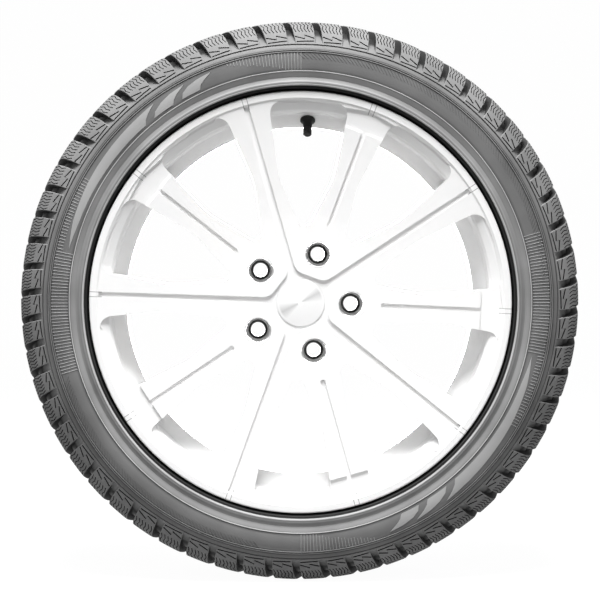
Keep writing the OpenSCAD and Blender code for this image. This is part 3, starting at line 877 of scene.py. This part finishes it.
@dataclass
class Tread:
    """Blocks and grooves of the tread, in millimetres and degrees."""

    pitches: int = 60
    pitch_swing: float = 1.4
    swells: int = 3
    pitch_sizes: tuple[float, ...] = (5.68, 6.0, 6.32)
    shoulder_gap: float = 8.0
    crown_gap: float = 5.6
    shoulder_lean: float = 12.0
    crown_lean: float = 48.0
    ring_at: float = 44.0
    ring_w: float = 9.0
    rib_half: float = 7.6
    rib_notch: float = 1.1
    foot_r: float = 287.8
    foot_rise: float = 7.0
    swing: float = 0.9
    sipe_from: float = 50.0
    sipe_to: float = 15.0
    bold_sipes: tuple[tuple[Point2, ...], ...] = (
        ((9.4, 0.93), (6.0, 0.02), (10.8, -0.02), (7.0, -0.93)), ((2.4, 0.88), (2.9, 0.0), (3.4, -0.88)))

    def angle(self, index: float) -> float:
        """Direction of block number index in degrees."""
        even = 360.0 * index / self.pitches
        return even + self.pitch_swing * math.sin(math.radians(self.swells * even))

    def places(self, offset: float) -> list[tuple[float, int]]:
        """List where the blocks of a ring stand.

        Args:
            offset: Share of a pitch that the ring is moved on by.

        Returns:
            Angle and size number of each block.
        """
        result = []
        for i in range(self.pitches):
            size = self.angle(i + offset + 0.5) - self.angle(i + offset - 0.5)
            kind = min(range(len(self.pitch_sizes)), key=lambda k: abs(self.pitch_sizes[k] - size))
            result.append((self.angle(i + offset), kind))
        return result

    def width(self, pitch: float, gap: float, along: float) -> float:
        """Width of a block between two grooves at a distance along the section."""
        return math.radians(pitch) * SHAPE.section(along)[0] - gap

    def shoulder_block(self, pitch: float) -> BlockPattern:
        """Draw a shoulder block.

        Args:
            pitch: Share of the tyre's round that it takes, in degrees.

        Returns:
            Its outline and sipes.
        """
        start = self.ring_at + self.ring_w / 2
        end = SHAPE.along_at(self.foot_r)
        lean = math.tan(math.radians(self.shoulder_lean))
        stations = [start + 1.2] + [start + 7.0 * i for i in range(1, int((end - start) / 7.0) + 1)] + [end]
        stations = [s for i, s in enumerate(stations) if i == 0 or s - stations[i - 1] > 0.5]

        def middle(s: float) -> float:
            """Sideways place of the block's middle line."""
            return -(SHAPE.section(s)[1] - self.ring_at) * lean

        def across(s: float, share: float) -> float:
            """Sideways place at a share from -1 to 1 of the block's half width."""
            return middle(s) + share * self.width(pitch, self.shoulder_gap, s) / 2

        right = [(across(s, 1.0), s) for s in stations]
        left = [(across(s, -1.0), s) for s in reversed(stations)]
        sipes = []
        for k in range(6):
            share, run = -0.80 + 1.6 * k / 5, self.sipe_from - self.sipe_to
            depths = [end - self.sipe_from + run * j / 6 for j in range(7)]
            sipes.append(zigzag([(across(s, share), s) for s in depths], self.swing))
        sipes += [[(across(end - s, share), end - s) for s, share in line] for line in self.bold_sipes]
        for k in range(4):
            share = -0.72 + 1.44 * k / 3
            depths = [start + 3.5 + 2.4 * j for j in range(6)]
            sipes.append(zigzag([(across(s, share), s) for s in depths], self.swing))
        return BlockPattern("shoulder_block", right + left, sipes)

    def crown_block(self, pitch: float) -> BlockPattern:
        """Draw a block that lies between the middle rib and the ring groove.

        Args:
            pitch: Share of the tyre's round that it takes, in degrees.

        Returns:
            Its outline and sipes.
        """
        start, end = self.rib_half + 0.8, self.ring_at - self.ring_w / 2
        lean = math.tan(math.radians(self.crown_lean))
        gap = self.crown_gap / math.cos(math.radians(self.crown_lean))
        half = (math.radians(pitch) * SHAPE.tyre_r - gap) / 2

        def across(s: float, share: float) -> float:
            """Sideways place at a share of the half width."""
            return (self.ring_at - s) * lean + share * half

        count = 5
        stations = [start + (end - start) * i / count for i in range(count + 1)]
        right = [(across(s, 1.0), s) for s in stations]
        left = [(across(s, -1.0), s) for s in reversed(stations)]
        sipes = []
        for k in range(5):
            s0 = start + 3.6 + (end - start - 7.2) * k / 4
            sipes.append(zigzag([(across(s0, -0.78 + 1.56 * j / 6), s0) for j in range(7)], self.swing, 1))
        return BlockPattern("crown_block", right + left, sipes)

    def rib_block(self, pitch: float) -> BlockPattern:
        """Draw one pitch of the middle rib.

        Args:
            pitch: Share of the tyre's round that it takes, in degrees.

        Returns:
            Its outline and sipes.
        """
        half = (math.radians(pitch) * SHAPE.tyre_r - 1.0) / 2
        edge = self.rib_half
        low = [(half * k / 3, -edge + (self.rib_notch if k % 2 else 0.0)) for k in range(-3, 4)]
        high = [(half * k / 3, edge - (0.0 if k % 2 else self.rib_notch)) for k in range(3, -4, -1)]
        sipes = [zigzag([(half * c, -4.6 + 9.2 * j / 5) for j in range(6)], 0.8) for c in (-0.6, 0.0, 0.6)]
        return BlockPattern("rib_block", low + high, sipes)

    def foot_depth(self, along: float) -> float:
        """Depth of a block's foot, just under the groove's floor."""
        end = SHAPE.along_at(self.foot_r)
        return SHAPE.tread_depth + 0.5 if along < end - self.foot_rise else max(1.2, (end - along) * 1.25 + 0.6)

    def build(self, material: bpy.types.Material) -> list[bpy.types.Object]:
        """Make the five rings of blocks.

        Args:
            material: The tread's rubber.

        Returns:
            The rings.
        """
        made = []
        rings = [("shoulder_blocks_front", self.shoulder_block, Side.FRONT, 0.5),
                 ("shoulder_blocks_rear", self.shoulder_block, Side.REAR, 1.0),
                 ("crown_blocks_front", self.crown_block, Side.FRONT, 0.5),
                 ("crown_blocks_rear", self.crown_block, Side.REAR, 1.0),
                 ("middle_rib", self.rib_block, Side.FRONT, 0.5)]
        for name, draw, side, offset in rings:
            blocks = [draw(pitch).mesh(side, material, self.foot_depth) for pitch in self.pitch_sizes]
            made.append(repeat_round(name, blocks, self.places(offset), material))
        return made


@dataclass
class Carcass:
    """Sidewalls, beads and groove floors as one turned body, with the rings moulded on the walls."""

    steps: int = 360
    rib_z: float = 112.0
    rib_r: float = 242.6
    flange_r: float = 235.6
    roll_z: float = 104.75
    bead_r: float = 218.3
    half_rim: float = 95.25
    foot_r: float = 288.2
    wall_t: float = 8.0
    crown_t: float = 17.1
    lining_r: float = 14.3
    relief: tuple[tuple[float, float], ...] = (
        (287.4, 0.0), (286.9, -1.2), (284.4, -1.0), (281.7, -0.8), (281.2, 0.35), (280.3, 0.35), (279.9, -0.5),
        (279.4, -0.5), (279.0, 0.35), (278.2, 0.35), (277.8, -0.45), (277.2, -0.45), (276.9, -0.55),
        (259.0, -0.55), (257.8, -0.5), (257.5, 0.4), (256.8, 0.4), (256.4, 0.2), (253.0, 0.1), (250.2, 0.0))

    def outer_half(self) -> list[Point2]:
        """Draw the outside of one half.

        Returns:
            Points from the middle of the groove floor to the toe of the bead, as (radius, height).
        """
        centre_r, centre_z = SHAPE.shoulder_centre
        floor = SHAPE.shoulder_r - SHAPE.tread_depth
        line = []
        for i in range(9):
            r, z, out_r, out_z = SHAPE.section(SHAPE.shoulder_start * i / 8)
            line.append((r - SHAPE.tread_depth * out_r, z - SHAPE.tread_depth * out_z))
        for i in range(1, 7):
            a = math.radians(SHAPE.slope + (SHAPE.shoulder_end - SHAPE.slope) * i / 7)
            line.append((centre_r + floor * math.cos(a), centre_z + floor * math.sin(a)))
        for radius, lift in ((self.foot_r, 0.0), *self.relief):
            r, z, out_r, out_z = SHAPE.section(SHAPE.along_at(radius))
            line.append((r + lift * out_r, z + lift * out_z))
        finer: list[Point2] = []
        for (r0, z0), (r1, z1) in zip(line[:-1], line[1:]):
            finer.append((r0, z0))
            if r0 < 285 and r0 - r1 > 3.0:
                for k in range(1, int((r0 - r1) / 2.0) + 1):
                    r = r0 - 2.0 * k
                    if r - r1 > 0.8:
                        base = SHAPE.section(SHAPE.along_at(r))
                        share = (r0 - r) / (r0 - r1)
                        lift0 = z0 - SHAPE.section(SHAPE.along_at(r0))[1]
                        lift1 = z1 - SHAPE.section(SHAPE.along_at(r1))[1]
                        finer.append((r, base[1] + lift0 + (lift1 - lift0) * share))
        finer.append(line[-1])
        finer += [(self.rib_r + 4.2, self.rib_z - 1.2), (self.rib_r + 3.0, self.rib_z - 0.2),
                  (self.rib_r + 1.8, self.rib_z), (self.rib_r - 0.2, self.rib_z),
                  (self.rib_r - 1.1, self.rib_z - 0.5), (self.rib_r - 1.6, self.rib_z - 1.6),
                  (self.flange_r + 3.4, self.roll_z + 2.2), (self.flange_r + 2.4, self.roll_z - 1.2),
                  (self.flange_r + 0.9, self.roll_z - 4.2), (self.flange_r - 2.2, self.roll_z - 6.4),
                  (self.flange_r - 6.6, self.roll_z - 9.3), (self.bead_r + 5.0, self.half_rim - 1.2),
                  (self.bead_r + 0.6, self.half_rim - 4.0), (self.bead_r - 0.2, self.half_rim - 9.0),
                  (self.bead_r - 0.9, self.half_rim - 20.5), (self.bead_r + 0.8, self.half_rim - 22.5)]
        return finer

    def inner_half(self) -> list[Point2]:
        """Draw the inside of one half.

        Returns:
            Points from the toe of the bead to the middle, as (radius, height).
        """
        wall_r = SHAPE.tyre_r - SHAPE.wall_drop
        centre_r, centre_z = SHAPE.shoulder_centre
        line = [(self.bead_r + 12, self.half_rim - 19), (self.flange_r + 2, self.half_rim - 10),
                (self.flange_r + 14, self.half_rim + 1)]
        for i in range(6):
            a = math.radians(96 - 34 * i / 5)
            size = SHAPE.wall_size - self.wall_t
            line.append((wall_r + size * math.cos(a), SHAPE.wall_z - SHAPE.wall_size + size * math.sin(a)))
        for i in range(6):
            a = math.radians(62 - (62 - SHAPE.slope) * i / 5)
            line.append((centre_r + self.lining_r * math.cos(a), centre_z + self.lining_r * math.sin(a)))
        line.append((SHAPE.tyre_r - self.crown_t, 0.0))
        return line

    def build(self, material: bpy.types.Material) -> bpy.types.Object:
        """Make the turned body.

        Args:
            material: The sidewalls' rubber.

        Returns:
            The body.
        """
        half = self.outer_half() + self.inner_half()
        loop = half + [(r, -z) for r, z in reversed(half[1:-1])]
        points, faces = [], []
        for i in range(self.steps):
            a = 2 * math.pi * i / self.steps
            c, s = math.cos(a) * MM, math.sin(a) * MM
            points += [(r * c, -z * MM, r * s) for r, z in loop]
        n = len(loop)
        for i in range(self.steps):
            base, after = i * n, ((i + 1) % self.steps) * n
            for k in range(n):
                m = (k + 1) % n
                faces.append((base + k, base + m, after + m, after + k))
        piece = new_piece("tyre_carcass", points, faces, material, 22.0)
        tidy_normals(piece)
        return piece


def raised_plate(name: str, side: Side, outline: Sequence[Point2], lift: float,
                 material: bpy.types.Material, step: float = 1.2) -> bpy.types.Object:
    """Make a thin raised plate that follows the sidewall.

    Args:
        name: Name of the plate.
        side: Half of the tyre.
        outline: Corners as (degrees, radius in millimetres), counter-clockwise with degrees to the right.
        lift: Height of the plate over the wall in millimetres.
        material: The plate's material.
        step: Length of the pieces that the outline is cut into, in degrees or tenths of the radius.

    Returns:
        The plate.
    """
    line: list[Point2] = []
    for (a0, r0), (a1, r1) in zip(outline, list(outline[1:]) + [outline[0]]):
        cuts = max(1, int(max(abs(a1 - a0) / step, abs(r1 - r0) / (2.5 * step))))
        line += [(a0 + (a1 - a0) * k / cuts, r0 + (r1 - r0) * k / cuts) for k in range(cuts)]
    low_a, high_a = min(a for a, _ in line), max(a for a, _ in line)
    low_r, high_r = min(r for _, r in line), max(r for _, r in line)
    flat = [Vector(p) for p in line]
    a = math.ceil(low_a)
    while a < high_a:
        for k in range(1, 5):
            r = low_r + (high_r - low_r) * k / 5
            if inside(line, a + 0.37, r):
                flat.append(Vector((a + 0.37, r)))
        a += step
    edges = [(i, (i + 1) % len(line)) for i in range(len(line))]
    verts, _, faces, _, _, _ = delaunay_2d_cdt(flat, edges, [], 0, 1e-4)
    points = [SHAPE.place(side, v.x, SHAPE.along_at(v.y), lift) for v in verts]
    polys = []
    for face in faces:
        x, y = (sum(verts[i][k] for i in face) / len(face) for k in (0, 1))
        if inside(line, x, y):
            polys.append(tuple(face))
    middle = (sum(p[0] for p in line) / len(line), sum(p[1] for p in line) / len(line))
    rim = [min(range(len(verts)), key=lambda i: (verts[i].x - x) ** 2 + (verts[i].y - y) ** 2) for x, y in line]
    base = len(points)
    for x, y in line:
        out = Vector(((x - middle[0]) * 4.8, y - middle[1])).normalized() * 0.25
        points.append(SHAPE.place(side, x + out.x / 4.8, SHAPE.along_at(y + out.y), lift - 0.9))
    for i in range(len(line)):
        j = (i + 1) % len(line)
        polys.append((rim[j], rim[i], base + i, base + j))
    plate = new_piece(name, points, polys, material, 25.0)
    face_wall(plate, side)
    return plate


def face_wall(piece: bpy.types.Object, side: Side) -> None:
    """Turn the faces of a sheet on the sidewall outwards.

    Args:
        piece: The piece, whose mesh is changed.
        side: Half of the tyre.
    """
    work = bmesh.new()
    work.from_mesh(piece.data)
    bmesh.ops.recalc_face_normals(work, faces=work.faces)
    total = sum(-side.value * f.normal.y * f.calc_area() for f in work.faces)
    if total < 0:
        bmesh.ops.reverse_faces(work, faces=work.faces)
    work.to_mesh(piece.data)
    work.free()


@dataclass
class WallRelief:
    """Low moulded patterns of the sidewall: fine ribs, slanting blades and vent stubs."""

    inner_r: float = 258.6
    outer_r: float = 277.4
    rib_w: float = 0.95
    rib_rise: float = -0.03
    panel_turn: float = 180.0
    stub_r: float = 246.6
    stub_step: float = 22.0
    stub_first: float = 11.0
    stub_rings: tuple[Point2, ...] = ((0.75, -0.4), (0.65, 0.7), (0.35, 1.0))
    stub_sides: int = 8
    rib_step: float = 0.75
    rib_foot: float = -0.9
    rib_lengths: int = 9
    shortest_rib: float = 3.0
    rib_panels: tuple[tuple[float, float, int | None], ...] = (
        (90.0, 108.0, None), (168.0, 197.0, 0), (150.0, 168.0, 6))
    hatch_r: float = 270.6
    hatch_lean: float = 1.6
    blade_lift: float = -0.05
    blades: tuple[tuple[Point2, ...], ...] = (
        ((111.3, 274.6), (113.4, 269.5), (114.7, 265.5), (115.4, 261.0), (120.2, 261.0), (119.4, 266.5),
         (117.6, 270.5), (115.0, 273.0)),
        ((118.2, 274.6), (120.6, 269.5), (122.0, 265.5), (122.8, 261.0), (128.4, 261.0), (127.2, 266.5),
         (125.0, 270.5), (122.0, 273.2)),
        ((126.4, 274.6), (128.9, 269.5), (130.3, 265.5), (131.2, 261.0), (146.0, 261.0), (160.0, 261.6),
         (167.0, 264.0), (160.0, 268.4), (150.0, 271.0), (138.0, 272.6), (131.0, 273.6)))

    def rib(self, side: Side, low: float, high: float, lean: float, material: bpy.types.Material) -> bpy.types.Object:
        """Make one fine rib at angle zero.

        Args:
            side: Half of the tyre.
            low: Radius of its inner end.
            high: Radius of its outer end.
            lean: Degrees that its outer end is turned by.
            material: The rib's rubber.

        Returns:
            The rib.
        """
        count = max(2, int((high - low) / 4.5))
        points, faces = [], []
        profile = [(-self.rib_w / 2, self.rib_foot), (-self.rib_w / 5, self.rib_rise),
                   (self.rib_w / 5, self.rib_rise), (self.rib_w / 2, self.rib_foot)]
        for i in range(count + 1):
            k = i / count
            along = SHAPE.along_at(low + (high - low) * k)
            points += [SHAPE.place(side, lean * k, along, lift, shift) for shift, lift in profile]
        for i in range(count):
            for k in range(3):
                faces.append((4 * i + k, 4 * i + k + 1, 4 * i + k + 5, 4 * i + k + 4))
        faces += [(0, 1, 2, 3), tuple(4 * count + k for k in (0, 1, 2, 3))]
        piece = new_piece("rib", points, faces, material, 35.0)
        face_wall(piece, side)
        return piece

    def stub(self, side: Side, material: bpy.types.Material) -> bpy.types.Object:
        """Make one vent stub at angle zero.

        Args:
            side: Half of the tyre.
            material: The stub's rubber.

        Returns:
            The stub.
        """
        centre, n = SHAPE.along_at(self.stub_r), self.stub_sides
        points, faces = [], []
        for size, lift in self.stub_rings:
            for i in range(n):
                a = 2 * math.pi * i / n
                points.append(SHAPE.place(side, 0.0, centre + size * math.sin(a), lift, size * math.cos(a)))
        for ring in range(len(self.stub_rings) - 1):
            for i in range(n):
                j = (i + 1) % n
                faces.append((n * ring + i, n * ring + j, n * ring + n + j, n * ring + n + i))
        faces.append(tuple(range(len(points) - n, len(points))))
        piece = new_piece("stub", points, faces, material, 40.0)
        face_wall(piece, side)
        return piece

    def rib_places(self) -> list[tuple[float, int]]:
        """List where the ribs stand.

        Returns:
            Angle and length number of each rib; where a panel names no length, its ribs shorten along it.
        """
        places = []
        for start in (0.0, self.panel_turn):
            for first, last, length in self.rib_panels:
                a = first
                while a < last:
                    shorter = min(self.rib_lengths - 1, int(max(0.0, a - first - 2.0) / 1.8))
                    places.append((start + a, shorter if length is None else length))
                    a += self.rib_step
        return places

    def build(self, material: bpy.types.Material, faint: bpy.types.Material) -> list[bpy.types.Object]:
        """Make the patterns of both sidewalls.

        Args:
            material: Rubber of the ribs, stubs and blades, a lighter copy of the wall's rubber as a painted
                highlight.
            faint: Rubber of the slanting ribs.

        Returns:
            The patterns.
        """
        made = []
        longest, last = self.outer_r - self.shortest_rib - self.inner_r, self.rib_lengths - 1
        for side in Side:
            key = side.name.lower()
            lows = [self.inner_r + longest * k / last for k in range(self.rib_lengths)]
            ribs = [self.rib(side, low, self.outer_r, 0.0, material) for low in lows]
            made.append(repeat_round(f"wall_ribs_{key}", ribs, self.rib_places(), material))
            hatch = [self.rib(side, self.hatch_r, self.outer_r, self.hatch_lean, faint)]
            turns = [a * 0.9 for a in range(6, 100)] + [197.5 + a * 0.9 for a in range(69)]
            made.append(repeat_round(f"wall_hatch_{key}", hatch, [(a, 0) for a in turns], faint))
            spots = [(self.stub_first + self.stub_step * i, 0) for i in range(int(360 / self.stub_step))]
            made.append(repeat_round(f"vent_stubs_{key}", [self.stub(side, material)], spots, material))
            for i, blade in enumerate(self.blades):
                for j, start in enumerate((0.0, self.panel_turn)):
                    name = f"wall_blade_{key}_{3 * j + i + 1}"
                    outline = [(a + start, r) for a, r in blade]
                    made.append(raised_plate(name, side, outline, self.blade_lift, material))
        return made


@dataclass(frozen=True)
class Lamp:
    """A soft square lamp, with its place, side, power, target and spread in degrees."""

    name: str
    at: Point3
    size: float
    power: float
    aim: Point3 = (0.0, 0.0, 0.0)
    spread: float = 180.0

    def hang(self) -> None:
        """Put the lamp in the scene, where the camera doesn't see it."""
        data = bpy.data.lights.new(self.name, "AREA")
        data.size, data.energy, data.spread = self.size, self.power, math.radians(self.spread)
        lamp = bpy.data.objects.new(self.name, data)
        lamp.location = self.at
        lamp.rotation_euler = (Vector(self.aim) - Vector(self.at)).to_track_quat("-Z", "Y").to_euler()
        lamp.visible_camera = False
        bpy.context.scene.collection.objects.link(lamp)


@dataclass
class Studio:
    """Camera, floor, backdrop, surroundings and lamps."""

    lens: float = 134.5
    film_w: float = 36.0
    picture_w: float = 600.0
    camera_at: Point3 = (-0.054, -2.6, 0.095)
    aim_at: Point3 = (0.0, -0.105, 0.0)
    aim_pixel: Point2 = (300.89, 302.74)
    floor_z: float = -0.3150
    floor_half: float = 9.0
    floor_front: float = -6.0
    bend_y: float = 3.0
    bend_r: float = 2.0
    backdrop_top: float = 9.0
    floor_level: float = 0.27
    white: float = 0.97
    shadow_level: float = 0.06
    surround: float = 0.16
    lamps: tuple[Lamp, ...] = (
        Lamp("top_softbox", (-0.1, -0.9, 2.2), 1.2, 131.0),
        Lamp("low_strip", (0.0, -1.3, 0.45), 0.3, 0.2, (0.0, -0.1, -0.3), 40.0),
        Lamp("rear_softbox", (0.0, 1.3, 0.0), 0.55, 17.0))

    def camera(self) -> None:
        """Put the camera where the photograph was taken."""
        data = bpy.data.cameras.new("camera")
        data.lens, data.sensor_width = self.lens, self.film_w
        camera = bpy.data.objects.new("camera", data)
        bpy.context.scene.collection.objects.link(camera)
        camera.location = self.camera_at
        way = Vector(self.aim_at) - Vector(self.camera_at)
        turn = way.to_track_quat("-Z", "Y").to_matrix()
        focal = self.lens / self.film_w * self.picture_w
        right, down = (math.atan((pixel - self.picture_w / 2) / focal) for pixel in self.aim_pixel)
        turn = turn @ Matrix.Rotation(right, 3, "Y") @ Matrix.Rotation(down, 3, "X")
        camera.rotation_euler = turn.to_euler()
        bpy.context.scene.camera = camera

    def ground(self) -> None:
        """Lay a pale floor that turns up into a backdrop."""
        points, faces = [], []
        bend = [math.radians(a) for a in range(0, 91, 10)]
        line = [(self.floor_front, 0.0)]
        line += [(self.bend_y + self.bend_r * math.sin(a), self.bend_r - self.bend_r * math.cos(a)) for a in bend]
        line += [(self.bend_y + self.bend_r, self.backdrop_top)]
        for y, z in line:
            points += [(x, y, z + self.floor_z) for x in (-self.floor_half, self.floor_half)]
        for i in range(len(line) - 1):
            faces.append((2 * i, 2 * i + 1, 2 * i + 3, 2 * i + 2))
        material, g = new_material("pale_floor")
        plain = g.add("ShaderNodeBsdfDiffuse", {"Color": shade(self.floor_level)})
        bright = g.add("ShaderNodeEmission", {"Color": shade(1.0), "Strength": self.white})
        soft = g.add("ShaderNodeBsdfDiffuse", {"Color": shade(self.shadow_level)})
        shown = g.add("ShaderNodeAddShader", {0: bright.outputs[0], 1: soft.outputs[0]})
        both = g.add("ShaderNodeMixShader", {0: g.white_rays(), 1: plain.outputs[0], 2: shown.outputs[0]})
        g.add("ShaderNodeOutputMaterial", {"Surface": both.outputs[0]})
        new_piece("floor", points, faces, material, 40.0)

    def world(self) -> None:
        """Light the surroundings evenly; they show white."""
        world = bpy.data.worlds.new("surroundings")
        world.use_nodes = True
        bpy.context.scene.world = world
        g = Graph(world.node_tree)
        strength = g.scaled(g.white_rays(), 0.0, 1.0, self.surround, 1.0)
        light = g.add("ShaderNodeBackground", {"Color": shade(1.0), "Strength": strength})
        g.add("ShaderNodeOutputWorld", {"Surface": light.outputs[0]})

    def build(self) -> None:
        """Set up the whole studio."""
        self.camera()
        self.ground()
        self.world()
        for lamp in self.lamps:
            lamp.hang()
        bpy.context.scene.view_settings.view_transform = "Standard"


def dress_node(name: str, material: bpy.types.Material) -> None:
    """Give a CAD node its material.

    Args:
        name: Name of the node.
        material: Its material.
    """
    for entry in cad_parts[name].material_slots:
        entry.material = material
    log.info("%s dressed in %s", name, material.name)


def main() -> None:
    """Build the pieces in order and report each one."""
    Studio().build()
    tread_rubber = RubberFinish("tread_rubber", 0.20, roughness=0.6, mottle=0.12).build()
    wall_rubber = SidewallFinish("sidewall_rubber", 0.52, roughness=0.42, mottle=0.12, bump=0.15).build()
    # the relief's rubber is a lighter copy of the wall's rubber: a painted highlight on the raised ribs, stubs and
    # blades
    relief_rubber = RubberFinish("relief_rubber", 0.34, roughness=0.34, mottle=0.08, bump=0.1).build()
    faint_rubber = RubberFinish("faint_rubber", 0.12, roughness=0.4, mottle=0.08, bump=0.1).build()
    pieces = [Carcass().build(wall_rubber), *Tread().build(tread_rubber),
              *WallRelief().build(relief_rubber, faint_rubber)]
    for piece in pieces:
        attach(piece, "wheel_and_tyre")
        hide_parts("tyre")
        log.info("%s has %d faces", piece.name, len(piece.data.polygons))
    dress_node("wheel", PaintFinish().build())
    dress_node("centre_cap", SpunFinish().build())
    steel = MetalFinish("spring_steel", (0.62, 0.62, 0.63), 0.28).build()
    brass = MetalFinish("turned_brass", (0.78, 0.55, 0.25), 0.25).build()
    black = RubberFinish("valve_rubber_black", 0.012, roughness=0.5, bump=0.1, grain_scale=3000.0).build()
    plastic = RubberFinish("cap_plastic", 0.02, roughness=0.35, bump=0.05, grain_scale=3000.0).build()
    for material, names in ((steel, ("cap_wire_ring", "core_spring")),
                            (brass, ("valve_insert", "core_body", "core_pin")),
                            (black, ("valve_stem", "core_seal", "cap_seal")), (plastic, ("valve_cap",))):
        for name in names:
            dress_node(name, material)


if __name__ == "__main__":
    main()
